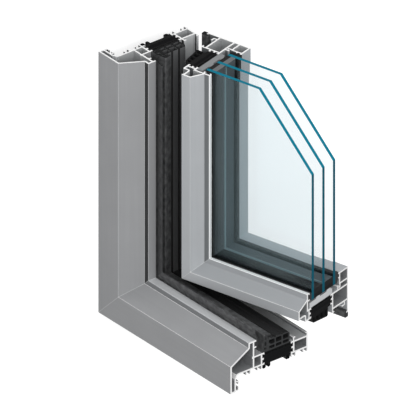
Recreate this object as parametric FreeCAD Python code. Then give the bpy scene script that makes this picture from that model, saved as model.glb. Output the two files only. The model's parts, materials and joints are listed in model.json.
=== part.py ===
import FreeCAD, Part
import math
import os

# Corner of a thermally broken aluminium window: a fixed frame (sill and jamb) and an inward opening
# sash (rail and stile) with its triple glazing. It is drawn as it is built in: X along the sill, Y from
# outdoors into the room, Z up, with the origin at the frame's outer corner on its outdoor face. At the
# end it is laid on the jamb's outer side, the way it rests unheld. Lengths are millimetres.

# Arms
sill_length = 164.0          # outer length of the sill arm
jamb_height = 234.0          # outer height of the jamb arm
open_angle = 15.0            # degrees that the sash stands open
wall = 1.4                   # wall of the aluminium profiles
edge_round = 0.4             # small radius on the edges of the aluminium
lip_round = 0.45             # rounded ends of lips and hooks

# Frame section: depth from the outdoor face, height from the outer edge of the frame
outer_depth = 31.7           # depth of the outdoor profile
frame_break = 30.6           # gap bridged by the insulating bars
inner_depth = 14.7           # depth of the indoor profile
leg_depth = 5.5              # hollow leg that covers the wall joint
haunch_depth = 1.7           # slanted corner between the leg and the underside
haunch_height = 3.8
base_height = 14.8           # underside of both profiles above the leg's foot
body_height = 10.9           # height of the box behind the face
face_height = 24.5           # upright part of the outdoor face
slope_depth = 18.0           # depth of the sloping face
slope_height = 10.5          # rise of the sloping face
step_height = 4.7            # upright step above the slope
seal_wall_depth = 23.7       # rear face of the wall that carries the outer seal
seal_lip = 2.0               # how far the lips of the seal groove stand out
seal_groove = 4.0            # opening of that groove
rib_height = 2.0             # stiffening rib inside, where the walls meet
rib_depth = 0.7
clip_height = 3.5            # hooked upstands over the indoor box
clip_wall = 1.2              # thickness of hooks and channel lips
clip_reach = 2.4             # how far the hooks reach over

# Roll-in joint between a profile and an insulating bar
tooth_length = 2.1           # outer teeth
tooth_hook = 0.5             # turned in edge of the outer teeth
mid_tooth_length = 1.5
mid_tooth_wall = 1.7

# Channels under the frame, and the one behind its leg
channel_front = 15.2         # first channel behind the outdoor face
channel_width = 5.2
channel_depth = 3.5
channel_opening = 2.4
slot_low = 0.6               # the leg's channel: lower edge, height and depth
slot_height = 9.3
slot_depth = 3.0

# Insulating bars of the frame
bar_height = 3.2             # plain bar
bar_wall = 1.1               # walls of a hollow bar
leg_drop = 3.5               # hooks under the lower bar
leg_wall = 1.2
front_hook_reach = 1.4
middle_hook = 4.8            # second hook behind the front of the bar
middle_hook_reach = 2.4
rear_hook = 1.2              # third hook in front of the bar's rear end
rear_hook_width = 4.0

# Sash section: depth from its outdoor face, height from its outdoor face's lower edge
sash_outer_depth = 14.4      # rear wall of the outdoor profile
sash_break = 29.6
sash_inner_depth = 21.0
sash_proud = 5.0             # indoor face stands in front of the frame's
sash_gap = 11.3              # face's lower edge above the frame's rebate
sash_face = 8.3              # upright part of the sash face
sash_drip = 0.8              # the face hangs below the web behind it
sash_slope_depth = 10.9
sash_slope_height = 5.9
sash_lip_height = 5.2        # upright lip that holds the outer glazing seal
sash_lip_reach = 2.1
pocket_tip = 0.7             # turned in edges of the pocket that holds the seal's foot
sash_nose_depth = 8.4        # the front chamber's lower wall ends here
nose_round = 1.2
sash_base = 4.8              # underside of the outdoor profile below the face's edge
sash_floor = 4.7             # floor of the glazing rebate above the face's edge
box_drop = 10.1              # underside of the indoor box below the face's edge
groove_drop = 3.3            # hardware groove below the box
groove_opening = 10.0
groove_lip = 2.8
groove_hook = 4.0            # rear hook of the hardware groove
flange_drop = 21.5           # overlapping flange below the face's edge
apron_drop = 13.0            # insulating apron under the sash
apron_rear = 38.5
apron_front_drop = 5.5
apron_round = 1.5

# Glazing
pane = 3.0                   # thickness of one pane
pane_pitch = 14.0
pane_front = 17.1            # outdoor face of the outer pane, in the sash
edge_cover = 6.5             # glass edge above the rebate floor
sealant_height = 3.8
spacer_height = 4.4
spacer_round = 0.8
glass_cut_x = 51.0           # cut away from the free corner of the panes
glass_cut_z = 60.0
bead_gap = 5.2               # space between the glass and the bead
bead_height = 10.8
bead_lift = 3.8              # bead box above the rebate floor
bead_wall = 1.3
bead_foot_lift = 0.6         # foot above the rebate floor
bead_foot_inset = 0.33       # foot behind the bead's front
bead_barb = 0.65
catch_height = 3.5           # hook on the sash that holds the bead's foot
catch_reach = 1.8
foam_height = 4.9            # strip laid in the rebate under the glass
foam_crest = 1.5
foam_crest_width = 6.0
foam_crest_top = 4.0

# Seals
seal_clearance = 0.3         # between a seal and what it closes on
seal_wall = 0.9              # wall of a seal's lip
seal_body = 1.8
seal_reach = 9.2             # outer seal's lip above the rebate
central_clearance = 2.0      # central seal below the apron
central_wall = 1.2
central_front = 4.2          # depth of the front chamber of the central seal
central_lean = 2.4           # how far its front leans back
central_rise = 5.0           # its lip above the chambers
central_row = 2.6            # height of the lower row of chambers
central_lip = 3.2            # lip that turns back over the chambers
central_round = 2.4          # rounded rear corner
central_columns = 3
central_groove = 1.0         # depth of the grooves over the webs between the chambers
central_groove_width = 1.8
overlap_drop = 4.0           # overlap seal below the sash flange
glazing_seal_overlap = 1.0   # outer glazing seal above the glass edge

# Corner cleats
cleat_leg = 62.0
cleat_clearance = 0.15

# Hinge
axis_from_flange = 11.2      # hinge axis beside the sash flange
axis_from_sash = 6.1         # and in front of the sash's indoor face
barrel_radius = 5.4
pin_radius = 3.0
pin_clearance = 0.05
leaf_wall = 2.4
leaf_round = 2.0
hinge_bottom = 46.0          # lower end of the hinge above the sill's edge
hinge_height = 78.0
knuckle_gap = 0.3
leaf_width = 15.0

# Places worked out from the sizes above
body_top = base_height + body_height
slope_top = face_height + slope_height
rebate_top = slope_top + step_height
groove_floor = rebate_top - wall - seal_groove
inner_front = outer_depth + frame_break
frame_depth = inner_front + inner_depth
sash_depth = sash_outer_depth + sash_break + sash_inner_depth
sash_inner_front = sash_outer_depth + sash_break
sash_back = frame_depth + sash_proud
sash_setback = sash_back - sash_depth
sash_inset = rebate_top + sash_gap
axis_x = sash_inset - flange_drop - axis_from_flange
axis_y = sash_back + axis_from_sash
sash_length = sill_length - sash_inset
sash_height = jamb_height - sash_inset
glass_edge = sash_floor + edge_cover
pane_rear = pane_front + 2 * pane_pitch + pane
bead_front = pane_rear + bead_gap
bead_low = sash_floor + bead_lift
bead_top = bead_low + bead_height
spacer_low = glass_edge + sealant_height
spacer_top = spacer_low + spacer_height
lip_low = sash_face + sash_slope_height
lip_top = lip_low + sash_lip_height
pocket_front = sash_slope_depth + wall
pocket_rear = pocket_front + sash_lip_reach
pocket_high = lip_top - wall - pocket_tip
pocket_low = lip_low - wall + pocket_tip
reach = 2 * sash_inset


def at(depth, height):
    return FreeCAD.Vector(0, depth, height)


def turning(corners):
    """Positive for an outline that runs anticlockwise."""
    return sum(a[0] * b[1] - b[0] * a[1] for a, b in zip(corners, corners[1:] + corners[:1]))


def neighbours(corners):
    return zip(corners[-1:] + corners[:-1], corners, corners[1:] + corners[:1])


def area(*corners):
    """Flat area inside a closed outline. A corner's third number is the radius that rounds it."""
    corners = list(corners if turning(corners) > 0 else corners[::-1])
    bends = []
    for before, here, after in neighbours(corners):
        corner = at(here[0], here[1])
        if len(here) < 3 or here[2] <= 0:
            bends.append([corner])
            continue
        back = (at(before[0], before[1]) - corner).normalize()
        on = (at(after[0], after[1]) - corner).normalize()
        half = back.getAngle(on) / 2
        leg = here[2] / math.tan(half)
        # The axis is exact, so that every area lies in one plane
        axis = FreeCAD.Vector(math.copysign(1, on.cross(back).x), 0, 0)
        circle = Part.Circle(corner + (back + on).normalize() * (here[2] / math.sin(half)), axis, here[2])
        bends.append([corner + back * leg, corner + on * leg, circle])
    edges = []
    for bend, following in zip(bends, bends[1:] + bends[:1]):
        end = bend[0]
        if len(bend) > 1:
            start, end, circle = bend
            edges.append(Part.ArcOfCircle(circle, circle.parameter(start), circle.parameter(end)).toShape())
        if end.distanceToPoint(following[0]) > 1e-6:
            edges.append(Part.makeLine(end, following[0]))
    return Part.Face(Part.Wire(edges))


def without(face, *holes):
    for hole in holes:
        face = face.cut(hole).Faces[0]
    return face


def joined(pieces):
    """One area made of several that touch or overlap."""
    (face,) = pieces[0].multiFuse(pieces[1:]).removeSplitter().Faces
    return face


def block(depth_0, depth_1, height_0, height_1):
    return area((depth_0, height_0), (depth_1, height_0), (depth_1, height_1), (depth_0, height_1))


def inwards(corners, distance):
    """The outline moved inwards, its bends with it."""
    way = math.copysign(1, turning(corners))
    moved = []
    for before, here, after in neighbours(corners):
        normals = []
        for a, b in ((before, here), (here, after)):
            length = math.dist(a[:2], b[:2])
            normals.append(((a[1] - b[1]) / length, (b[0] - a[0]) / length))
        (ax, ay), (bx, by) = normals
        share = way * distance / (1 + ax * bx + ay * by)
        outside = way * (ax * by - ay * bx) > 0
        radius = here[2] if len(here) > 2 else 0
        radius += -distance if outside else distance if radius else 0
        moved.append((here[0] + (ax + bx) * share, here[1] + (ay + by) * share, max(radius, 0)))
    return moved


def tube(corners, thickness):
    """Closed thin-walled outline."""
    return without(area(*corners), area(*inwards(corners, thickness)))


def ledge(root, tip, low, high):
    """Plate that stands out from a wall, with a rounded end."""
    return area((root, low), (tip, low, lip_round), (tip, high, lip_round), (root, high))


def hook_corners(side, way, root, tip, width, thick=clip_wall):
    turn = math.copysign(thick, tip - root)
    return [(side, root), (side, tip, thick), (side + way * width, tip, lip_round),
            (side + way * width, tip - turn, lip_round),
            (side + way * thick, tip - turn), (side + way * thick, root)]


def hook(side, way, root, tip, width, thick=clip_wall):
    """L-shaped hook from a floor: its outer side, the way its foot points, root and tip heights."""
    return area(*hook_corners(side, way, root, tip, width, thick))


def side_hook(side, way, root, tip, width):
    """The same hook from a wall: heights and depths change places."""
    corners = hook_corners(side, way, root, tip, width)
    return area(*[(height, depth, *bend) for depth, height, *bend in corners])


def channel(front, ceiling):
    """Undercut channel below a face: two hooks that point at each other."""
    lip = (channel_width - channel_opening) / 2
    return [hook(front, 1, ceiling, ceiling - channel_depth, lip),
            hook(front + channel_width, -1, ceiling, ceiling - channel_depth, lip)]


def teeth(face, way, low, high):
    """Three teeth on a profile's face that hold two bar heads: way is 1 towards greater depth."""
    middle = (low + high) / 2
    out = face + way * tooth_length
    shoulder = out - way * wall
    lower = area((face, low), (out, low, wall / 2), (out, low + wall + tooth_hook),
                 (shoulder, low + wall), (face, low + wall))
    upper = area((face, high), (out, high, wall / 2), (out, high - wall - tooth_hook),
                 (shoulder, high - wall), (face, high - wall))
    half = mid_tooth_wall / 2
    return [lower, ledge(face, face + way * mid_tooth_length, middle - half, middle + half), upper]


def heads(face, way, low, high, upper):
    """Bar head rolled into the teeth, and the neck as far as the teeth reach."""
    middle = (low + high) / 2
    out = face + way * tooth_length
    shoulder = out - way * wall
    near = middle + mid_tooth_wall / 2 if upper else middle - mid_tooth_wall / 2
    far = high - wall if upper else low + wall
    lip = far - tooth_hook if upper else far + tooth_hook
    return area((face, near), (face, far), (shoulder, far), (out, lip), (out, near))


def hollow_bar(front, rear, low, high, chambers):
    """Insulating bar between two profiles with a row of chambers."""
    body = block(front, rear, low, high)
    pitch = (rear - front - bar_wall) / chambers
    for index in range(chambers):
        start = front + bar_wall + index * pitch
        body = without(body, block(start, start + pitch - bar_wall, low + bar_wall, high - bar_wall))
    return body


def frame_outer_section():
    datum = (0, 0)  # a sharp corner, to measure from
    shell = [datum, (0, face_height, edge_round), (slope_depth, slope_top, edge_round),
             (slope_depth, rebate_top, edge_round),
             (seal_wall_depth, rebate_top), (seal_wall_depth, base_height),
             (leg_depth + haunch_depth, base_height, wall), (leg_depth, base_height - haunch_height, wall),
             (leg_depth, 0, edge_round)]
    inside = seal_wall_depth - wall
    box = [(inside, base_height), (inside, body_top), (outer_depth, body_top), (outer_depth, base_height)]
    lip_end = seal_wall_depth + seal_lip
    rib_middle = body_top - wall / 2
    slot_lip = (slot_height - channel_opening) / 2
    return joined([tube(shell, wall), tube(box, wall),
                   ledge(inside, lip_end, rebate_top - wall, rebate_top),
                   ledge(inside, lip_end, groove_floor - wall, groove_floor),
                   ledge(inside + wall / 2, inside - rib_depth,
                         rib_middle - rib_height / 2, rib_middle + rib_height / 2),
                   side_hook(slot_low, 1, leg_depth, leg_depth + slot_depth, slot_lip),
                   side_hook(slot_low + slot_height, -1, leg_depth, leg_depth + slot_depth, slot_lip)]
                  + teeth(outer_depth, 1, base_height, body_top)
                  + channel(channel_front, base_height)
                  + channel(outer_depth - channel_width, base_height))


def frame_inner_section():
    box = [(inner_front, base_height), (inner_front, body_top),
           (frame_depth, body_top), (frame_depth, base_height)]
    root, top = body_top - wall, body_top + clip_height
    return joined([tube(box, wall), hook(inner_front, 1, root, top, clip_reach),
                   hook(frame_depth, -1, root, top, clip_reach)]
                  + teeth(inner_front, -1, base_height, body_top)
                  + channel(inner_front - tooth_length, base_height)
                  + channel(frame_depth - channel_width, base_height))


def frame_upper_bar_section():
    front, rear = outer_depth + tooth_length, inner_front - tooth_length
    return joined([hollow_bar(front, rear, body_top - bar_height, body_top, 4),
                   heads(outer_depth, 1, base_height, body_top, True),
                   heads(inner_front, -1, base_height, body_top, True)])


def frame_lower_bar_section():
    """Lower bar with the hooks that take trims and foam from below."""
    front, rear = outer_depth + tooth_length, inner_front - tooth_length
    low = base_height - leg_drop
    hook_rear = rear - rear_hook
    return joined([block(front, rear, base_height, base_height + bar_height),
                   heads(outer_depth, 1, base_height, body_top, False),
                   heads(inner_front, -1, base_height, body_top, False),
                   hook(front + front_hook_reach, -1, base_height, low, 2 * front_hook_reach, leg_wall),
                   hook(front + middle_hook + leg_wall, -1, base_height, low, middle_hook_reach, leg_wall),
                   hook(hook_rear - rear_hook_width, 1, base_height, low, rear_hook_width / 2, leg_wall),
                   hook(hook_rear, -1, base_height, low, rear_hook_width / 2, leg_wall)])


def frame_foam_section():
    return block(outer_depth + tooth_length, inner_front - tooth_length,
                 base_height + bar_height, body_top - bar_height)


def outer_seal_section():
    """Seal on the frame's rebate: a foot in the groove and a curved lip that meets the sash."""
    lip_end = seal_wall_depth + seal_lip
    back = lip_end + seal_body
    tip = sash_setback + sash_nose_depth - seal_clearance
    top = rebate_top + seal_reach
    bend = sash_inset - sash_base - seal_clearance
    return joined([block(seal_wall_depth, lip_end, groove_floor, rebate_top - wall),
                   area((lip_end, groove_floor - wall), (back, groove_floor - wall, seal_wall),
                        (back, rebate_top), (lip_end, rebate_top)),
                   area((back - seal_wall, rebate_top), (back, rebate_top), (tip, bend, seal_wall),
                        (tip, top, seal_wall / 3), (tip - seal_wall, top, seal_wall / 3),
                        (tip - seal_wall, bend, seal_wall))])


def central_seal_section():
    """Hollow seal on the upper bar: a leaning front with a lip, and two rows of chambers behind it."""
    low, front, rear = body_top, outer_depth, inner_front - tooth_length - leg_wall
    top = sash_inset - apron_drop - central_clearance
    apex = top + central_rise
    spine = front + central_front + central_wall
    lip_end = spine + central_lip
    body = area((front, low), (front + central_lean, apex, central_wall),
                (lip_end, apex - central_wall, seal_wall / 2),
                (lip_end, apex - 2 * central_wall, seal_wall / 2),
                (spine, apex - central_wall - seal_wall / 2), (spine, top),
                (rear, top, central_round), (rear, low))
    split = low + central_wall + central_row
    rows = [(low + central_wall, split), (split + central_wall, top - central_wall)]
    pitch = (rear - spine - central_wall) / central_columns
    for column in range(central_columns):
        start = spine + column * pitch + central_wall
        end = start + pitch - central_wall
        for floor, ceiling in rows:
            body = without(body, area((start, floor, seal_wall), (end, floor, seal_wall),
                                      (end, ceiling, seal_wall), (start, ceiling, seal_wall)))
        if column:
            web, half = start - central_wall / 2, central_groove_width / 2
            body = without(body, area((web - half, top), (web + half, top), (web, top - central_groove)))
    back = spine - central_wall
    for floor, ceiling in rows + [(top, apex - 2 * central_wall)]:
        under, over = [front + central_wall + central_lean * (height - low) / (apex - low)
                       for height in (floor, ceiling)]
        body = without(body, area((under, floor, seal_wall / 4), (back, floor, seal_wall / 4),
                                  (back, ceiling, seal_wall / 4), (over, ceiling, seal_wall / 4)))
    return body


def sash_outer_section():
    slope = sash_slope_height / sash_slope_depth
    shell = [(0, sash_drip), (0, sash_face, edge_round), (pocket_front, sash_face + slope * pocket_front),
             (pocket_front, sash_floor), (sash_outer_depth, sash_floor), (sash_outer_depth, -sash_base),
             (sash_nose_depth, -sash_base, nose_round), (sash_nose_depth, sash_drip, nose_round)]
    front = sash_slope_depth
    neck = pocket_rear - pocket_tip
    under = lip_top - wall
    upper_lip = area((front, lip_top, edge_round), (pocket_rear, lip_top - pocket_tip, lip_round),
                     (pocket_rear, pocket_high), (neck, pocket_high), (neck, under), (front, under))
    lower_lip = area((front, lip_low), (neck, lip_low - wall), (neck, pocket_low), (pocket_rear, pocket_low),
                     (pocket_rear, lip_low - 2 * wall, lip_round), (front, lip_low - wall))
    return joined([tube(shell, wall), block(front, pocket_front, lip_low - wall, under),
                   area((0, 0, edge_round), (wall, 0, edge_round),
                        (wall, sash_drip + wall / 2), (0, sash_drip + wall / 2)),
                   upper_lip, lower_lip] + teeth(sash_outer_depth, 1, -sash_base, sash_floor))


def sash_inner_section():
    front, rear = sash_inner_front, sash_depth
    box = [(front, -box_drop), (front, sash_floor), (rear, sash_floor), (rear, -box_drop)]
    root, groove = wall - box_drop, -box_drop - groove_drop
    opening_end = front + groove_lip + groove_opening
    catch = bead_front - clip_reach
    return joined([tube(box, wall),
                   hook(front, 1, root, groove, groove_lip),
                   hook(opening_end + groove_hook, -1, root, groove, groove_hook),
                   hook(rear, -1, root, -flange_drop, clip_reach, wall),
                   hook(catch, 1, sash_floor - wall, sash_floor + catch_height, catch_reach)]
                  + teeth(front, -1, -sash_base, sash_floor))


def sash_upper_bar_section():
    front, rear = sash_outer_depth + tooth_length, sash_inner_front - tooth_length
    return joined([hollow_bar(front, rear, sash_floor - bar_height, sash_floor, 3),
                   heads(sash_outer_depth, 1, -sash_base, sash_floor, True),
                   heads(sash_inner_front, -1, -sash_base, sash_floor, True)])


def sash_lower_bar_section():
    """Lower bar with its hollow apron."""
    front, rear = sash_outer_depth + tooth_length, sash_inner_front - tooth_length
    nose = front + apron_front_drop / 2
    outline = [(front, -sash_base), (nose, -sash_base - apron_front_drop, apron_round),
               (apron_rear, -apron_drop, apron_round), (apron_rear, -sash_base)]
    pitch = (apron_rear - front) / 4
    inside = area(*inwards(outline, bar_wall / 2))
    webs = []
    for index in (1, 2, 3):
        start = front + index * pitch
        webs += block(start, start + bar_wall, -apron_drop, -sash_base).common(inside).Faces
    return joined([block(front, rear, -sash_base, -sash_base + bar_height), tube(outline, bar_wall),
                   heads(sash_outer_depth, 1, -sash_base, sash_floor, False),
                   heads(sash_inner_front, -1, -sash_base, sash_floor, False)] + webs)


def sash_foam_section():
    return block(sash_outer_depth + tooth_length, sash_inner_front - tooth_length,
                 -sash_base + bar_height, sash_floor - bar_height)


def bead_section():
    """Snap-in glazing bead: a box, the lips that hold its seal, a leg and a barbed foot."""
    rear = sash_depth
    shell = [(bead_front, bead_low), (bead_front, bead_top, edge_round),
             (rear, bead_top, edge_round), (rear, bead_low)]
    foot = sash_floor + bead_foot_lift
    leg = bead_front + bead_foot_inset
    lip = bead_front - bead_wall
    return joined([tube(shell, bead_wall),
                   ledge(bead_front, lip, bead_top - bead_wall, bead_top),
                   ledge(bead_front, lip, bead_top - 4 * bead_wall, bead_top - 3 * bead_wall),
                   block(rear - bead_wall, rear, sash_floor, bead_low),
                   block(leg, leg + bead_wall, foot, bead_low),
                   ledge(leg + bead_wall, bead_front - bead_barb, foot, foot + clip_wall)])


def outer_glazing_seal_section():
    """Seal between the sash lip and the glass, with a foot in the pocket."""
    low, top = glass_edge + glazing_seal_overlap, lip_top - wall
    neck = pocket_rear - pocket_tip
    return joined([area((pocket_rear, low), (pane_front, low), (pane_front, top),
                        (pocket_rear, top, seal_wall)),
                   block(neck, pocket_rear, pocket_low, pocket_high),
                   area((pocket_front, lip_low), (neck, pocket_low), (neck, top), (pocket_front, top))])


def inner_glazing_seal_section():
    lip = bead_front - bead_wall
    lip_under = bead_top - 4 * bead_wall
    return joined([area((pane_rear, lip_under), (lip, lip_under), (lip, bead_top + bead_wall, bead_wall / 2),
                        (pane_rear, bead_top + bead_wall)),
                   block(lip, bead_front, bead_top - 3 * bead_wall, bead_top - bead_wall),
                   area((pane_rear, lip_under), (lip, lip_under), (lip - bead_wall, glass_edge, seal_wall),
                        (pane_rear, glass_edge))])


def overlap_seal_section():
    """Seal on the sash flange that closes on the frame's indoor face."""
    front, rear = sash_depth - sash_proud + seal_clearance, sash_depth
    grip = rear - clip_reach
    foot = wall - flange_drop
    low = -flange_drop - overlap_drop
    return area((grip, foot), (grip, -flange_drop), (rear, -flange_drop), (rear, low, seal_wall),
                (front, low, 2 * seal_wall), (front, foot + seal_wall, seal_wall),
                (rear - wall, foot + seal_wall), (rear - wall, foot))


def rebate_foam_section():
    """Insulating strip under the glass, with a crest between the panes."""
    top = sash_floor + foam_height
    crests = []
    for gap in range(2):
        centre = pane_front + pane + (pane_pitch - pane) / 2 + gap * pane_pitch
        foot, crown = foam_crest_width / 2, foam_crest_top / 2
        crests.append(area((centre - foot, top), (centre - crown, top + foam_crest, seal_wall),
                           (centre + crown, top + foam_crest, seal_wall), (centre + foot, top)))
    return joined([block(pocket_rear, sash_inner_front, sash_floor, top)] + crests)


def sealant_section(gap):
    front = pane_front + pane + gap * pane_pitch
    return block(front, front + pane_pitch - pane, glass_edge, spacer_low)


def spacer_section(gap):
    front = pane_front + pane + gap * pane_pitch
    rear = front + pane_pitch - pane
    return area((front, spacer_low), (rear, spacer_low),
                (rear, spacer_top, spacer_round), (front, spacer_top, spacer_round))


def rail(section, length):
    """Arm along X, mitred at 45 degrees where it meets the upright arm."""
    bar = section.translated(FreeCAD.Vector(-reach, 0, 0)).extrude(FreeCAD.Vector(length + reach, 0, 0))
    corners = [FreeCAD.Vector(x, -reach, z)
               for x, z in ((-reach, -reach), (length, -reach), (length, length))]
    wedge = Part.Face(Part.makePolygon(corners + corners[:1])).extrude(FreeCAD.Vector(0, 3 * reach, 0))
    return bar.common(wedge).Solids[0]


def stile(section, length):
    """The same arm turned upright: its mirror image across the mitre."""
    return rail(section, length).mirror(FreeCAD.Vector(0, 0, 0), FreeCAD.Vector(1, 0, -1))


def plate(outline, front, thickness):
    """Flat piece that faces outdoors, from its outline in X and Z."""
    corners = [FreeCAD.Vector(x, front, z) for x, z in outline]
    return Part.Face(Part.makePolygon(corners + corners[:1])).extrude(FreeCAD.Vector(0, thickness, 0))


def glass(front):
    edge = glass_edge
    return plate([(edge, edge), (sash_length, edge), (sash_length, sash_height - glass_cut_z),
                  (sash_length - glass_cut_x, sash_height), (edge, sash_height)], front, pane)


def cleat(depth_0, depth_1, low, high):
    """Corner cleat: an angle that fills a chamber of both arms, lightened by holes."""
    near, far = low + cleat_clearance, high - cleat_clearance
    front = depth_0 + cleat_clearance
    thick = depth_1 - depth_0 - 2 * cleat_clearance
    end = near + cleat_leg
    angle = plate([(near, near), (end, near), (end, far), (far, far), (far, end), (near, end)], front, thick)
    radius = (far - near) / 4
    centre = (near + far) / 2
    for spot in (far + cleat_leg / 3, far + cleat_leg * 2 / 3):
        if spot + 2 * radius < end:
            for x, z in ((spot, centre), (centre, spot)):
                bore = Part.makeCylinder(radius, thick, FreeCAD.Vector(x, front, z), FreeCAD.Vector(0, 1, 0))
                angle = angle.cut(bore)
    return angle


def opened(shape):
    """Turn a piece of the sash about the hinge."""
    return shape.rotated(FreeCAD.Vector(axis_x, axis_y, 0), FreeCAD.Vector(0, 0, 1), open_angle)


def in_sash(shape):
    return opened(shape.translated(FreeCAD.Vector(sash_inset, sash_setback, sash_inset)))


def laid(shape):
    """Lay a piece on the jamb's outer side: the sill arm then stands and the jamb lies along -X."""
    return shape.rotated(FreeCAD.Vector(0, 0, 0), FreeCAD.Vector(0, 1, 0), -90)


def box(x0, x1, y0, y1, z0, z1):
    return Part.makeBox(x1 - x0, y1 - y0, z1 - z0, FreeCAD.Vector(x0, y0, z0))


def post(radius, low, high):
    return Part.makeCylinder(radius, high - low, FreeCAD.Vector(axis_x, axis_y, low))


def leaf(x0, x1, front, low, high, free_side):
    """Hinge leaf with its two free corners rounded."""
    body = box(x0, x1, front, front + leaf_wall, low, high)
    across = FreeCAD.Vector(free_side, front + leaf_wall / 2, 0)
    free = [edge for edge in body.Edges
            if math.hypot(edge.CenterOfMass.x - across.x, edge.CenterOfMass.y - across.y) < edge_round]
    return body.makeFillet(leaf_round, free)


def hinge():
    """Leaf with the lower knuckle on the frame, leaf with the upper knuckle on the sash, and the pin."""
    low, high = hinge_bottom, hinge_bottom + hinge_height
    middle = (low + high) / 2
    edge = sash_inset - flange_drop
    leaf_end = edge - overlap_drop - seal_clearance
    web = box(axis_x - leaf_wall, axis_x + leaf_wall, frame_depth, axis_y, low, middle)
    frame_leaf = leaf(base_height, leaf_end, frame_depth, low, high, leaf_end).fuse(web)
    frame_leaf = frame_leaf.fuse(post(barrel_radius, low, middle)).cut(post(pin_radius, low, middle))
    upper = middle + knuckle_gap
    arm = box(axis_x, edge + leaf_wall, sash_back, sash_back + leaf_wall, upper, high)
    sash_leaf = leaf(edge, edge + leaf_width, sash_back, low, high, edge + leaf_width).fuse(arm)
    sash_leaf = sash_leaf.fuse(post(barrel_radius, upper, high)).cut(
        post(pin_radius + pin_clearance, upper, high - leaf_wall))
    pin = post(pin_radius, low, high - leaf_wall - knuckle_gap)
    return frame_leaf.removeSplitter(), opened(sash_leaf.removeSplitter()), pin


def build():
    parts = {}
    for name, section in (("outer_profile", frame_outer_section()), ("inner_profile", frame_inner_section()),
                          ("upper_bar", frame_upper_bar_section()), ("lower_bar", frame_lower_bar_section()),
                          ("foam_core", frame_foam_section()), ("outer_seal", outer_seal_section()),
                          ("central_seal", central_seal_section())):
        parts["frame_sill_" + name] = rail(section, sill_length)
        parts["frame_jamb_" + name] = stile(section, jamb_height)
    parts["frame_outer_corner_cleat"] = cleat(wall, seal_wall_depth - wall - rib_depth,
                                              base_height + wall, face_height - wall)
    parts["frame_inner_corner_cleat"] = cleat(inner_front + wall, frame_depth - wall,
                                              base_height + wall, body_top - wall)

    for name, section in (("outer_profile", sash_outer_section()), ("inner_profile", sash_inner_section()),
                          ("upper_bar", sash_upper_bar_section()), ("lower_bar", sash_lower_bar_section()),
                          ("foam_core", sash_foam_section()), ("glazing_bead", bead_section()),
                          ("rebate_foam", rebate_foam_section()), ("overlap_seal", overlap_seal_section()),
                          ("outer_glazing_seal", outer_glazing_seal_section()),
                          ("inner_glazing_seal", inner_glazing_seal_section()),
                          ("outer_edge_sealant", sealant_section(0)),
                          ("inner_edge_sealant", sealant_section(1)),
                          ("outer_spacer", spacer_section(0)), ("inner_spacer", spacer_section(1))):
        parts["sash_rail_" + name] = in_sash(rail(section, sash_length))
        parts["sash_stile_" + name] = in_sash(stile(section, sash_height))
    for index, name in enumerate(("outer_pane", "middle_pane", "inner_pane")):
        parts[name] = in_sash(glass(pane_front + index * pane_pitch))
    parts["sash_inner_corner_cleat"] = in_sash(
        cleat(sash_inner_front + wall, sash_depth - wall, -box_drop + wall, sash_floor - wall))
    parts["hinge_frame_leaf"], parts["hinge_sash_leaf"], parts["hinge_pin"] = hinge()
    return parts


os.makedirs("parts", exist_ok=True)
for node, shape in build().items():
    laid(shape).exportStep("parts/" + node + ".step")
    print(node, len(shape.Solids), shape.isValid(), round(shape.Volume, 1))
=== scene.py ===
import json
import math

import bpy
from mathutils import Matrix, Vector


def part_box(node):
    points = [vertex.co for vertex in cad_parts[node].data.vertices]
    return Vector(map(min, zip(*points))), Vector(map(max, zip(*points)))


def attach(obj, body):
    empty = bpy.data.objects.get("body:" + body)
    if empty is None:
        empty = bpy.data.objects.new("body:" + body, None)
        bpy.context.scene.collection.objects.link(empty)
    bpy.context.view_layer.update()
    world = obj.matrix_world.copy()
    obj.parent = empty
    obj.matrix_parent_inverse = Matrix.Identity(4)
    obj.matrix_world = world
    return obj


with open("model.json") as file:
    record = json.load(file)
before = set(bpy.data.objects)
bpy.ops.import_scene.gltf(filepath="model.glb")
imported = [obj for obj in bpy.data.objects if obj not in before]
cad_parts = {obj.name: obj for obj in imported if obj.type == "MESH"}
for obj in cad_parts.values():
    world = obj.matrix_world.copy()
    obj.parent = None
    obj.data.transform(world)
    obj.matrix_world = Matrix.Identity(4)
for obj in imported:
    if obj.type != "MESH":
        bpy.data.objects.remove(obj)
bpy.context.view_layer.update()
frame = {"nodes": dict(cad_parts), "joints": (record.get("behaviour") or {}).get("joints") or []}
print("frame loaded:", len(frame["nodes"]), "pieces")

# The corner lies on the jamb's outer side: jamb and stile run along -X, sill and rail along +Z, and
# outdoors is -Y. With the sash turned back to closed, depth is the distance behind the frame's outdoor
# face, and height the distance across an arm from the frame's outer side. All lengths are in metres,
# unless a note says mm.
hingeJoint = next(joint for joint in frame["joints"] if joint["name"] == "sash_turn")
hingeY, hingeZ = hingeJoint["pos_m"][1:]
sashOpen = math.radians(15)  # how far the sash stands open
sashFront = 0.017  # depth of the sash's outdoor face
jambCut = -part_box("frame_jamb_outer_profile")[0].x  # where the upright arms are sawn off
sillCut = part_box("frame_sill_outer_profile")[1].z  # where the level arms are sawn off
sawnReach = 0.00004  # what lies this near to a saw cut belongs to its face


def linearColour(hexColour):
    channels = [int(hexColour[i:i + 2], 16) / 255 for i in (1, 3, 5)]
    return [c / 12.92 if c <= 0.04045 else ((c + 0.055) / 1.055) ** 2.4 for c in channels] + [1.0]


# Adds one node; an input may be a plain value, another node (its first output) or one of its sockets.
def addNode(tree, kind, inputs=None, **settings):
    node = tree.nodes.new(kind)
    for key, value in settings.items():
        setattr(node, key, value)
    for key, value in (inputs or {}).items():
        if isinstance(value, bpy.types.Node):
            value = next(socket for socket in value.outputs if socket.enabled)
        if isinstance(value, bpy.types.NodeSocket):
            tree.links.new(value, node.inputs[key])
        else:
            node.inputs[key].default_value = value
    return node


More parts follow.
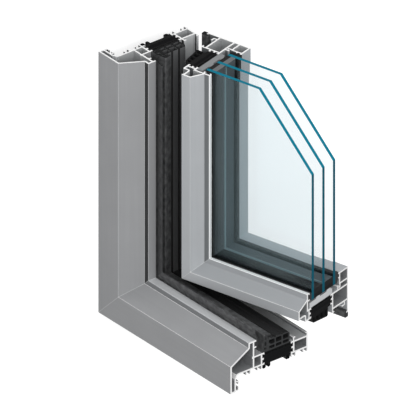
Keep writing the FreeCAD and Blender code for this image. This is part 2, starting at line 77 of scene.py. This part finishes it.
def addMath(tree, operation, *inputs):
    return addNode(tree, "ShaderNodeMath", dict(enumerate(inputs)), operation=operation)


# 1 where the value lies between the limits, 0 elsewhere.
def between(tree, value, low, high):
    return addMath(tree, "COMPARE", value, (low + high) / 2, (high - low) / 2)


# Maps the value from one range to another; it stays within the second.
def addRange(tree, value, source=(0.0, 1.0), target=(0.0, 1.0)):
    return addNode(tree, "ShaderNodeMapRange", dict(enumerate((value, *source, *target))))


# Lays the second colour over the first by a factor; a colour is a hex value or a node.
def mixColour(tree, factor, first, second):
    first, second = (linearColour(c) if isinstance(c, str) else c for c in (first, second))
    return addNode(tree, "ShaderNodeMix", {0: factor, 6: first, 7: second}, data_type="RGBA")


# Noise with a grain of this many mm.
def addNoise(tree, place, size, detail=2.0):
    return addNode(tree, "ShaderNodeTexNoise", {"Vector": place, "Scale": 1000 / size, "Detail": detail})


# Noise drawn out along the arm: size is its width across the arm in mm.
def drawnNoise(tree, place, arm, size, stretch, detail=2.0):
    along, across = 1000 / (size * stretch), 1000 / size
    scale = (along, across, across) if arm == "upright" else (across, across, along)
    stretched = addNode(tree, "ShaderNodeMapping", {"Vector": place, "Scale": scale})
    return addNode(tree, "ShaderNodeTexNoise", {"Vector": stretched, "Scale": 1.0, "Detail": detail})


def surfaceNormal(tree):
    return addNode(tree, "ShaderNodeTexCoord").outputs["Normal"]


def addShader(tree, inputs):
    return addNode(tree, "ShaderNodeBsdfPrincipled", inputs)


def setSurface(tree, shader):
    addNode(tree, "ShaderNodeOutputMaterial", {0: shader})


def newMaterial(name):
    material = bpy.data.materials.new(name)
    material.use_nodes = True
    material.node_tree.nodes.clear()
    return material, material.node_tree


# The place on a piece with the sash turned back to closed, so that lines on it run along its arms.
def closedPlace(tree, body):
    place = addNode(tree, "ShaderNodeTexCoord").outputs["Object"]
    if body == "frame":
        return place
    cosine, sine = math.cos(sashOpen), math.sin(sashOpen)
    shift = (0, hingeY * (1 - cosine) + hingeZ * sine, hingeZ * (1 - cosine) - hingeY * sine)
    inputs = {"Vector": place, "Location": shift, "Rotation": (sashOpen, 0, 0)}
    return addNode(tree, "ShaderNodeMapping", inputs).outputs[0]


# 1 on the sawn ends, 0 elsewhere.
def sawnMask(tree, place):
    axes = addNode(tree, "ShaderNodeSeparateXYZ", {0: place})
    upright = addMath(tree, "LESS_THAN", axes.outputs[0], -(jambCut - sawnReach))
    level = addMath(tree, "GREATER_THAN", axes.outputs[2], sillCut - sawnReach)
    return addMath(tree, "MAXIMUM", upright, level)


# Anodised aluminium, extruded: an even satin grey, a little paler on the sash, with faint lines along its
# length. It is painted paler towards the room, as painted light in the shade under the sash. The arrises and
# lips carry painted highlights, the steps and the rail's slope painted shade, and the hollows painted light
# in the upright arms and painted shade in the level ones; the sawn ends are bare bright metal, and the mitre
# is a thin bright line. A turn is the cosine between a face and the outdoor direction.
satinAluminium = {
    "frame": ("#9c9d9f", "#a2a3a5"), "sash": ("#b2b5b8", "#b9bcbf"),
    # Past roomFrom in depth the frame is painted paler: painted light in the shade under the sash.
    "roomSide": ("#cccecf", "#d4d6d7"), "roomFrom": 0.05,  # depth
    "metallic": 0.15, "roughness": 0.5, "roughnessSpread": 0.03,
    "dieLine": 2.5, "dieStretch": 60, "cloud": 30,  # mm; real die lines are near 0.3 mm, too fine to show
    "toneRange": (0.1, 0.45), "bump": 0.04, "bumpHeight": 0.00005,
    "sawn": "#ffffff", "sawnRoughness": 0.6,
    # Painted shade: the step faces that look outdoors behind the body's front get these darker colours, one
    # for each body and arm.
    "step": {("frame", "upright"): "#323334", ("frame", "level"): "#838587",
             ("sash", "upright"): "#75787a", ("sash", "level"): "#a6a9ac"},
    "stepTurn": 0.97, "stepBehind": 0.006,  # least turn, and least depth behind the body's front
    "slope": {("sash", "level"): "#a1a4a7"}, "slopeTurn": (0.23, 0.57),  # painted shade on the rail's slope
    # Painted highlight along the arrises, paler on the level arm.
    "arris": {"upright": "#d2d4d5", "level": "#ffffff"}, "arrisTurn": (0.58, 0.92),
    "chamber": {"upright": "#b6b8b9", "level": "#8a8c8e"},  # painted light in the upright hollows, painted shade in the level ones
    # Painted highlight along the tops of the lips.
    "lip": {("sash", "upright"): ("#fbfdfe", 0.0695, 0.033),  # colour, from this height, down to this depth
            ("sash", "level"): ("#f4f7f8", 0.0697, 0.033), ("frame", "level"): ("#cfd1d3", 0.0393, 0.026)},
    "mitre": "#d4d6d6", "mitreWidth": 0.00016,
}
# The hollows of the sections in mm: from and to in depth, from and to in height.
chambers = {
    "frame": [(0.7, 23, 15.5, 24), (6, 23, 24, 27), (12, 23, 27, 30), (18.5, 23, 30, 39),
              (23, 30.8, 15.5, 25.1), (62.8, 76.3, 15.5, 25.1)],
    "sash": [(17.7, 28.7, 52.5, 59), (22, 28.7, 59, 61.5), (61.8, 81.3, 41.6, 54.8),
             (70.9, 81.3, 54.8, 69.6)],
}


# 1 on the walls inside the hollows, 0 elsewhere.
def chamberMask(tree, body, depth, height):
    mask = 0.0
    for near, far, low, high in chambers[body]:
        inDepth = between(tree, depth, near / 1000, far / 1000)
        inHeight = between(tree, height, low / 1000, high / 1000)
        mask = addMath(tree, "MAXIMUM", addMath(tree, "MULTIPLY", inDepth, inHeight), mask)
    return mask


def satinAluminiumMaterial(name, values, body, arm):
    material, tree = newMaterial(name)
    place = closedPlace(tree, body)
    axes = addNode(tree, "ShaderNodeSeparateXYZ", {0: place}).outputs
    depth = axes[1]
    height = addMath(tree, "ABSOLUTE", axes[2 if arm == "upright" else 0])
    lines = drawnNoise(tree, place, arm, values["dieLine"], values["dieStretch"])
    clouds = addNoise(tree, place, values["cloud"], detail=3.0)
    tone = addRange(tree, addMath(tree, "MULTIPLY", lines, clouds), values["toneRange"])
    colour = mixColour(tree, tone, *values[body])
    # Painted light: the frame is paler towards the room, where the sash shades it.
    if body == "frame":
        inside = addMath(tree, "GREATER_THAN", depth, values["roomFrom"])
        colour = mixColour(tree, inside, colour, mixColour(tree, tone, *values["roomSide"]))

    turn, front = (sashOpen, sashFront) if body == "sash" else (0.0, 0.0)
    outdoors = (0, -math.cos(turn), math.sin(turn))
    looking = addNode(tree, "ShaderNodeVectorMath", {0: surfaceNormal(tree), 1: outdoors},
                      operation="DOT_PRODUCT").outputs["Value"]
    # Painted shade on the step faces.
    facing = addMath(tree, "GREATER_THAN", looking, values["stepTurn"])
    behind = addMath(tree, "GREATER_THAN", depth, front + values["stepBehind"])
    layers = [(addMath(tree, "MULTIPLY", facing, behind), values["step"][body, arm])]
    # Painted shade on the rail's slope.
    if (body, arm) in values["slope"]:
        layers.append((between(tree, looking, *values["slopeTurn"]), values["slope"][body, arm]))
    # Painted highlight on the arrises.
    layers.append((between(tree, looking, *values["arrisTurn"]), values["arris"][arm]))
    # Painted light and shade inside the hollows.
    layers.append((chamberMask(tree, body, depth, height), values["chamber"][arm]))
    # Painted highlight on the lips.
    if (body, arm) in values["lip"]:
        bright, lowest, deepest = values["lip"][body, arm]
        high = addMath(tree, "GREATER_THAN", height, lowest)
        near = addMath(tree, "LESS_THAN", depth, deepest)
        layers.append((addMath(tree, "MULTIPLY", high, near), bright))
    offMitre = addMath(tree, "ABSOLUTE", addMath(tree, "ADD", axes[0], axes[2]))
    layers.append((addMath(tree, "LESS_THAN", offMitre, values["mitreWidth"]), values["mitre"]))
    sawn = sawnMask(tree, place)
    layers.append((sawn, values["sawn"]))
    for mask, shade in layers:
        colour = mixColour(tree, mask, colour, shade)

    middle, spread = values["roughness"], values["roughnessSpread"]
    rough = addRange(tree, lines, target=(middle - spread, middle + spread))
    rough = addNode(tree, "ShaderNodeMix", {0: sawn, 2: rough, 3: values["sawnRoughness"]})
    bump = addNode(tree, "ShaderNodeBump", {"Height": lines, "Strength": values["bump"],
                                            "Distance": values["bumpHeight"]})
    setSurface(tree, addShader(tree, {"Base Color": colour, "Metallic": values["metallic"],
                                      "Roughness": rough, "Normal": bump}))
    return material


# The dull finishes. Each goes from colour to paler over its faces, and its sawn ends have a tone for the
# upright and one for the level arm, set to the light that each end gets: painted light and shade. The widths
# of the drawn lines and of the grit are in mm.
# Glass-fibre filled polyamide, extruded: near-black and matt, drawn lines along it.
blackPolyamide = {
    "colour": "#0f1011", "paler": "#191a1b", "sawn": {"upright": "#060607", "level": "#101112"},
    "roughness": 0.6, "drawLine": 1.6, "stretch": 30, "grit": 0.9, "bump": 0.2,
}
# Rigid foam pressed into the gap between the bars: black, dull and lightly pitted.
coreFoam = {
    "colour": "#141516", "paler": "#1e1f20", "sawn": {"upright": "#08080a", "level": "#131415"},
    "roughness": 0.85, "drawLine": 1.8, "stretch": 1, "grit": 1.4, "bump": 0.3,
}
# EPDM rubber, extruded: soft black with a cloudy grey bloom where the talc has stayed.
sealRubber = {
    "colour": "#38393a", "paler": "#606162", "sawn": {"upright": "#141516", "level": "#3b3c3d"},
    "roughness": 0.65, "drawLine": 3.5, "stretch": 1.3, "grit": 1.1, "bump": 0.15,
}
# The same rubber on the hollow centre seal: past a depth it takes another tone, near black on the level
# arm and a paler grey on the upright, which is painted light in the shade of the stile; its slanting groove
# faces there are painted black, as painted shade.
centreRubber = {
    **sealRubber, "cleanFrom": 0.0405, "clean": {"upright": "#5a5b5c", "level": "#1f2021"},
    "groove": "#060606", "grooveTurn": (0.55, 0.85),
}
# The jamb's outer seal is painted darker, as painted shade, and the glazing seals are new and black.
shadedJambRubber = {**sealRubber, "colour": "#2a2b2c", "paler": "#474849"}
glazingRubber = {**sealRubber, "colour": "#0c0d0e", "paler": "#1a1b1c"}
# Butyl and polysulphide round the panes: black and smooth.
edgeSealant = {
    "colour": "#0e0f10", "paler": "#191b1c", "sawn": {"upright": "#0c0d0e", "level": "#0e0f10"},
    "roughness": 0.4, "drawLine": 3.0, "stretch": 5, "grit": 0.8, "bump": 0.03,
}
# Polypropylene warm-edge spacer: dark grey and dull, with the bright edge of its foil beside the middle
# pane. Its tone differs between the arms and it is paler past that pane, set to the light that reaches it
# through the panes: painted light and shade.
glazingSpacer = {
    # Painted light and shade: a paler tone on the upright arm, a darker one on the level arm.
    "colour": {"upright": "#3f4547", "level": "#121415"}, "paler": {"upright": "#4b5154", "level": "#1a1d1e"},
    "sawn": {"upright": "#6b6e70", "level": "#1b1c1d"},
    "roughness": 0.4, "drawLine": 2.2, "stretch": 30, "grit": 1.0, "bump": 0.03, "specular": 0.12,
    "foil": "#7d9094", "foilDepth": 0.0496, "foilReach": 0.0020,
    "beyond": {"upright": "#464e52", "level": "#4b5458"},
}
# Polyethylene rebate foam: pale grey closed cells, matt.
rebateFoam = {
    "colour": "#8b8d8f", "paler": "#9c9ea0", "sawn": {"upright": "#8c8e90", "level": "#cbcdcf"},
    "roughness": 0.8, "drawLine": 1.6, "stretch": 1, "grit": 0.9, "bump": 0.3,
}
# What the dull finishes share: a sawn end is torn and has lost its skin, so it hardly shines.
dullSurface = {
    "toneRange": (0.35, 0.7), "gritRange": (0.3, 0.7), "roughnessSpread": 0.06, "bumpHeight": 0.0002,
    "ior": 1.5, "specular": 0.5, "sawnSpecular": 0.1,
}


def dullMaterial(name, values, body, arm):
    material, tree = newMaterial(name)
    values = {**dullSurface, **values}
    shades = {key: values[key][arm] if isinstance(values[key], dict) else values[key]
              for key in ("colour", "paler", "sawn", "beyond", "clean") if key in values}
    place = closedPlace(tree, body)
    depth = addNode(tree, "ShaderNodeSeparateXYZ", {0: place}).outputs[1]
    lines = drawnNoise(tree, place, arm, values["drawLine"], values["stretch"], detail=3.0)
    tone = addRange(tree, lines, values["toneRange"])
    colour = mixColour(tree, tone, shades["colour"], shades["paler"])
    # Painted light past the middle pane.
    if "foil" in values:
        middle, reach = values["foilDepth"], values["foilReach"]
        colour = mixColour(tree, addMath(tree, "GREATER_THAN", depth, middle), colour, shades["beyond"])
        colour = mixColour(tree, between(tree, depth, middle - reach, middle + reach), colour, values["foil"])
    # Past a depth: another tone, painted light on the upright arm in the stile's shade.
    if "clean" in values:
        clean = addMath(tree, "GREATER_THAN", depth, values["cleanFrom"])
        colour = mixColour(tree, clean, colour, shades["clean"])
        # Painted shade: the slanting groove faces are painted black.
        turn = addNode(tree, "ShaderNodeSeparateXYZ", {0: surfaceNormal(tree)}).outputs[1]
        slant = between(tree, addMath(tree, "ABSOLUTE", turn), *values["grooveTurn"])
        colour = mixColour(tree, addMath(tree, "MULTIPLY", slant, clean), colour, values["groove"])
    # The sawn tone differs by arm: painted light and shade.
    sawn = sawnMask(tree, place)
    colour = mixColour(tree, sawn, colour, shades["sawn"])
    grit = addNoise(tree, place, values["grit"])
    middle, spread = values["roughness"], values["roughnessSpread"]
    rough = addRange(tree, grit, values["gritRange"], (middle - spread, middle + spread))
    bump = addNode(tree, "ShaderNodeBump", {"Height": grit, "Strength": values["bump"],
                                            "Distance": values["bumpHeight"]})
    gloss = addRange(tree, sawn, target=(values["specular"], values["sawnSpecular"]))
    setSurface(tree, addShader(tree, {"Base Color": colour, "Roughness": rough, "Normal": bump,
                                      "IOR": values["ior"], "Specular IOR Level": gloss}))
    return material


# Float glass, 3 mm: clear with a trace of teal over its faces, and deep teal along its cut edges, where the
# light has come a long way through the glass. An edge that faces up is painted lighter, as painted light, and
# is a little uneven.
floatGlass = {
    "face": "#f7fafb", "sheen": "#b6e4ee", "ior": 1.33,  # mirrors little, as a coated pane does
    "edge": "#005265", "edgeUp": "#007a92", "edgeRoughness": 0.6, "edgeSpecular": 0.1,
    "edgeTurn": 0.9,  # a face turned further from the pane's own is an edge; as a cosine
    "upRange": (0.0, -0.6), "upShare": 0.85, "cloud": 12, "cloudShare": 0.15,  # cloud in mm
}


def floatGlassMaterial(name, values):
    material, tree = newMaterial(name)
    normal = surfaceNormal(tree)
    acrossPane = (0, math.cos(sashOpen), -math.sin(sashOpen))
    turn = addNode(tree, "ShaderNodeVectorMath", {0: normal, 1: acrossPane},
                   operation="DOT_PRODUCT").outputs["Value"]
    edge = addMath(tree, "LESS_THAN", addMath(tree, "ABSOLUTE", turn), values["edgeTurn"])
    clouds = addNoise(tree, closedPlace(tree, "sash"), values["cloud"])
    # Painted light: an edge that faces up gets the lighter teal.
    upward = addNode(tree, "ShaderNodeSeparateXYZ", {0: normal}).outputs[0]
    upward = addRange(tree, upward, values["upRange"], (0.0, values["upShare"]))
    upward = addMath(tree, "MULTIPLY_ADD", clouds, values["cloudShare"], upward)
    edgeColour = mixColour(tree, upward, values["edge"], values["edgeUp"])
    rim = addShader(tree, {"Base Color": edgeColour, "Roughness": values["edgeRoughness"],
                           "Specular IOR Level": values["edgeSpecular"]})
    face = linearColour(values["face"])
    pane = addShader(tree, {"Base Color": face, "Roughness": 0.0, "IOR": values["ior"],
                            "Transmission Weight": 1.0, "Specular Tint": linearColour(values["sheen"])})
    clear = addNode(tree, "ShaderNodeBsdfTransparent", {0: face})
    light = addNode(tree, "ShaderNodeLightPath").outputs
    lampRay = addMath(tree, "MAXIMUM", light["Is Shadow Ray"], light["Is Diffuse Ray"])
    pane = addNode(tree, "ShaderNodeMixShader", {0: lampRay, 1: pane, 2: clear})
    setSurface(tree, addNode(tree, "ShaderNodeMixShader", {0: edge, 1: pane, 2: rim}))
    return material


# Plain metals, seen only in the open chambers and from behind, with a grain in mm.
# Zinc-plated steel is bright and even, cast zinc grey and dull, mill-finish aluminium pale and satin.
platedSteel = {"colour": "#9a9c9e", "paler": "#b4b6b8", "roughness": 0.34, "grain": 1.4}
screwSteel = {"colour": "#b6b8ba", "paler": "#c8cacb", "roughness": 0.3, "grain": 1.0}
castZinc = {"colour": "#84878a", "paler": "#9b9ea1", "roughness": 0.55, "grain": 2.4}
hingeAluminium = {"colour": "#a9abac", "paler": "#b6b8b9", "roughness": 0.38, "grain": 1.8}
plainMetal = {"toneRange": (0.35, 0.65), "roughnessSpread": 0.05}


def plainMetalMaterial(name, values):
    material, tree = newMaterial(name)
    place = addNode(tree, "ShaderNodeTexCoord").outputs["Object"]
    grain = addNoise(tree, place, values["grain"], detail=3.0)
    tone = addRange(tree, grain, plainMetal["toneRange"])
    colour = mixColour(tree, tone, values["colour"], values["paler"])
    middle, spread = values["roughness"], plainMetal["roughnessSpread"]
    rough = addRange(tree, grain, target=(middle - spread, middle + spread))
    setSurface(tree, addShader(tree, {"Base Color": colour, "Metallic": 1.0, "Roughness": rough}))
    return material


# The first word that a piece's name holds decides its finish; the last row takes the profiles and beads.
# Aluminium and the dull finishes get a material for each body and arm.
finishes = [
    ("hinge_pin", plainMetalMaterial, "plated_steel", platedSteel),
    ("hinge", plainMetalMaterial, "hinge_aluminium", hingeAluminium),
    ("cleat", plainMetalMaterial, "cast_zinc", castZinc),
    ("pane", floatGlassMaterial, "float_glass", floatGlass),
    ("bar", dullMaterial, "black_polyamide", blackPolyamide),
    ("foam_core", dullMaterial, "core_foam", coreFoam),
    ("rebate_foam", dullMaterial, "polyethylene_foam", rebateFoam),
    ("sealant", dullMaterial, "edge_sealant", edgeSealant),
    ("spacer", dullMaterial, "warm_edge_spacer", glazingSpacer),
    ("central_seal", dullMaterial, "epdm_centre_seal", centreRubber),
    ("jamb_outer_seal", dullMaterial, "epdm_jamb_seal", shadedJambRubber),
    ("glazing_seal", dullMaterial, "epdm_glazing_seal", glazingRubber),
    ("seal", dullMaterial, "epdm_rubber", sealRubber),
    ("", satinAluminiumMaterial, "anodised_aluminium", satinAluminium),
]
made = {}
for name, node in frame["nodes"].items():
    make, finish, values = next(row[1:] for row in finishes if row[0] in name)
    where = ()
    if make in (dullMaterial, satinAluminiumMaterial):
        where = ("sash" if name.startswith("sash") else "frame",
                 "upright" if "jamb" in name or "stile" in name else "level")
    title = "_".join((finish, *where))
    if title not in made:
        made[title] = make(title, values, *where)
    for slot in node.material_slots:
        slot.material = made[title]
print("finishes made:", len(made))

# Countersunk screws in the hinge's leaves: raised heads with a cross recess, each turned as it happened to
# stop. A row runs along the hinge; "first" is where its first head sits on the closed leaf.
hingeScrews = {
    "frame": {"first": (-0.052, 0.0794, 0.02295), "step": -0.022, "count": 4,
              "headRadius": 0.0019, "seed": 4},
    "sash": {"first": (-0.057, 0.0844, 0.037), "step": -0.028, "count": 3,
             "headRadius": 0.0033, "seed": 5},
    "rise": 0.16, "rim": 0.82,  # these and the next three are shares of the head's radius
    "recess": 1.15, "recessWidth": 0.3, "recessDepth": 0.12,
    "sides": 28, "turnRange": 1.57,  # radians
    "seat": 0.0001,  # how far a head is let into its leaf
}


def screwRowTree(values):
    tree = bpy.data.node_groups.new("screw_row", "GeometryNodeTree")
    for name, kind in (("First", "Vector"), ("Step", "Vector"), ("Count", "Int"), ("Head Radius", "Float"),
                       ("Tilt", "Float"), ("Seed", "Int"), ("Metal", "Material")):
        tree.interface.new_socket(name, in_out="INPUT", socket_type="NodeSocket" + kind)
    tree.interface.new_socket("Geometry", in_out="OUTPUT", socket_type="NodeSocketGeometry")
    given = addNode(tree, "NodeGroupInput").outputs
    share = {key: addMath(tree, "MULTIPLY", given["Head Radius"], values[key])
             for key in ("rise", "rim", "recess", "recessWidth", "recessDepth")}
    head = addNode(tree, "GeometryNodeMeshCone", {"Vertices": values["sides"], "Depth": share["rise"],
                                                  "Radius Top": share["rim"],
                                                  "Radius Bottom": given["Head Radius"]})
    top = addNode(tree, "ShaderNodeCombineXYZ", {2: share["rise"]})
    deep = addMath(tree, "MULTIPLY", share["recessDepth"], 2.0)  # half of it stands above the head
    for long, wide in (("recess", "recessWidth"), ("recessWidth", "recess")):
        size = addNode(tree, "ShaderNodeCombineXYZ", {0: share[long], 1: share[wide], 2: deep})
        slot = addNode(tree, "GeometryNodeMeshCube", {"Size": size})
        slot = addNode(tree, "GeometryNodeTransform", {"Geometry": slot, "Translation": top})
        head = addNode(tree, "GeometryNodeMeshBoolean", {"Mesh 1": head, "Mesh 2": slot},
                       operation="DIFFERENCE")
    row = addNode(tree, "GeometryNodeMeshLine", {"Count": given["Count"], "Start Location": given["First"],
                                                 "Offset": given["Step"]}, mode="OFFSET")
    tilt = addNode(tree, "ShaderNodeCombineXYZ", {0: given["Tilt"]})
    placed = addNode(tree, "GeometryNodeInstanceOnPoints", {"Points": row, "Instance": head,
                                                            "Rotation": tilt})
    turns = {"Min": (0.0, 0.0, 0.0), "Max": (0.0, 0.0, values["turnRange"]), "Seed": given["Seed"]}
    chance = addNode(tree, "FunctionNodeRandomValue", turns, data_type="FLOAT_VECTOR")
    placed = addNode(tree, "GeometryNodeRotateInstances", {"Instances": placed, "Rotation": chance,
                                                           "Local Space": True})
    solid = addNode(tree, "GeometryNodeRealizeInstances", {"Geometry": placed})
    solid = addNode(tree, "GeometryNodeSetMaterial", {"Geometry": solid, "Material": given["Metal"]})
    addNode(tree, "NodeGroupOutput", {"Geometry": solid})
    return tree


screwTree = screwRowTree(hingeScrews)
screwMetal = plainMetalMaterial("plated_screw_steel", screwSteel)
for body, turn in (("frame", 0.0), ("sash", sashOpen)):
    values = hingeScrews[body]
    x, y, z = values["first"]
    y -= hingeScrews["seat"]
    y, z = (hingeY + (z - hingeZ) * math.sin(turn) + (y - hingeY) * math.cos(turn),
            hingeZ + (z - hingeZ) * math.cos(turn) - (y - hingeY) * math.sin(turn))
    inputs = {"First": (x, y, z), "Step": (values["step"], 0.0, 0.0), "Count": values["count"],
              "Head Radius": values["headRadius"], "Tilt": -math.pi / 2 - turn, "Seed": values["seed"],
              "Metal": screwMetal}
    screws = bpy.data.objects.new("hinge_" + body + "_screws", bpy.data.meshes.new("screw_row"))
    bpy.context.collection.objects.link(screws)
    modifier = screws.modifiers.new("screw_row", "NODES")
    modifier.node_group = screwTree
    for item in screwTree.interface.items_tree:
        if item.in_out == "INPUT":
            modifier[item.identifier] = inputs[item.name]
    screws.data = bpy.data.meshes.new_from_object(screws.evaluated_get(bpy.context.evaluated_depsgraph_get()))
    screws.modifiers.remove(modifier)
    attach(screws, body)
print("hinge screws made")

# Floor, light and camera. The floor glows a little for each kind of ray, so that it reads as white to the
# camera, fainter through glass and fainter still as a mirror image.
floorPlane = {
    "reach": 3.0, "drop": 0.0002, "colour": "#cfcfcf",
    "seen": 0.7, "through": 0.56, "mirrored": 0.3,  # strength of the glow
}
corners = [(x * floorPlane["reach"], y * floorPlane["reach"], -floorPlane["drop"])
           for x, y in ((-1, -1), (1, -1), (1, 1), (-1, 1))]
floorMesh = bpy.data.meshes.new("floor")
floorMesh.from_pydata(corners, [], [(0, 1, 2, 3)])
floor = bpy.data.objects.new("floor", floorMesh)
bpy.context.collection.objects.link(floor)
material, tree = newMaterial("pale_floor")
floorMesh.materials.append(material)
light = addNode(tree, "ShaderNodeLightPath").outputs
mirrored = addMath(tree, "MULTIPLY", light["Is Glossy Ray"], floorPlane["mirrored"])
through = addMath(tree, "MULTIPLY", light["Is Transmission Ray"], floorPlane["through"])
glow = addMath(tree, "MULTIPLY_ADD", light["Is Camera Ray"], floorPlane["seen"],
               addMath(tree, "MAXIMUM", mirrored, through))
matt = addNode(tree, "ShaderNodeBsdfDiffuse", {"Color": linearColour(floorPlane["colour"])})
glowing = addNode(tree, "ShaderNodeEmission", {"Color": (1, 1, 1, 1), "Strength": glow})
setSurface(tree, addNode(tree, "ShaderNodeAddShader", {0: matt, 1: glowing}))

skyStrength = 0.45
world = bpy.data.worlds.new("studio")
bpy.context.scene.world = world
world.use_nodes = True
background = world.node_tree.nodes["Background"]
background.inputs["Color"].default_value = (1, 1, 1, 1)
background.inputs["Strength"].default_value = skyStrength

middle = Vector((-0.0688, 0.0925, 0.0233))  # what the lamps and the camera look at
lamps = {  # place from the middle, side of the square, watts
    "front": ((-0.5, -0.5, 1.05), 1.0, 8.5),
    "above": ((-1.1, -0.1, 0.3), 0.8, 3.2),
}
for name, (offset, side, watts) in lamps.items():
    lampData = bpy.data.lights.new(name, "AREA")
    lampData.shape, lampData.size, lampData.energy = "SQUARE", side, watts
    lamp = bpy.data.objects.new(name, lampData)
    lamp.location = middle + Vector(offset)
    lamp.rotation_euler = (-Vector(offset)).to_track_quat("-Z", "Y").to_euler()
    bpy.context.collection.objects.link(lamp)

# The camera is level with the standing window: its right, up and backward directions over the lying part.
cameraAxes = [(0, 0.7801, 0.6257), (-0.86603, 0.31285, -0.39005), (-0.5, -0.54187, 0.67559)]
cameraView = {"width": 0.32634, "distance": 1.2, "farthest": 10}
cameraData = bpy.data.cameras.new("camera")
cameraData.type = "ORTHO"
cameraData.ortho_scale = cameraView["width"]
cameraData.clip_end = cameraView["farthest"]
camera = bpy.data.objects.new("camera", cameraData)
shift = Matrix.Translation(middle + cameraView["distance"] * Vector(cameraAxes[2]))
camera.matrix_world = shift @ Matrix(cameraAxes).transposed().to_4x4()
bpy.context.collection.objects.link(camera)
bpy.context.scene.camera = camera
bpy.context.scene.view_settings.view_transform = "Standard"
print("stage made")
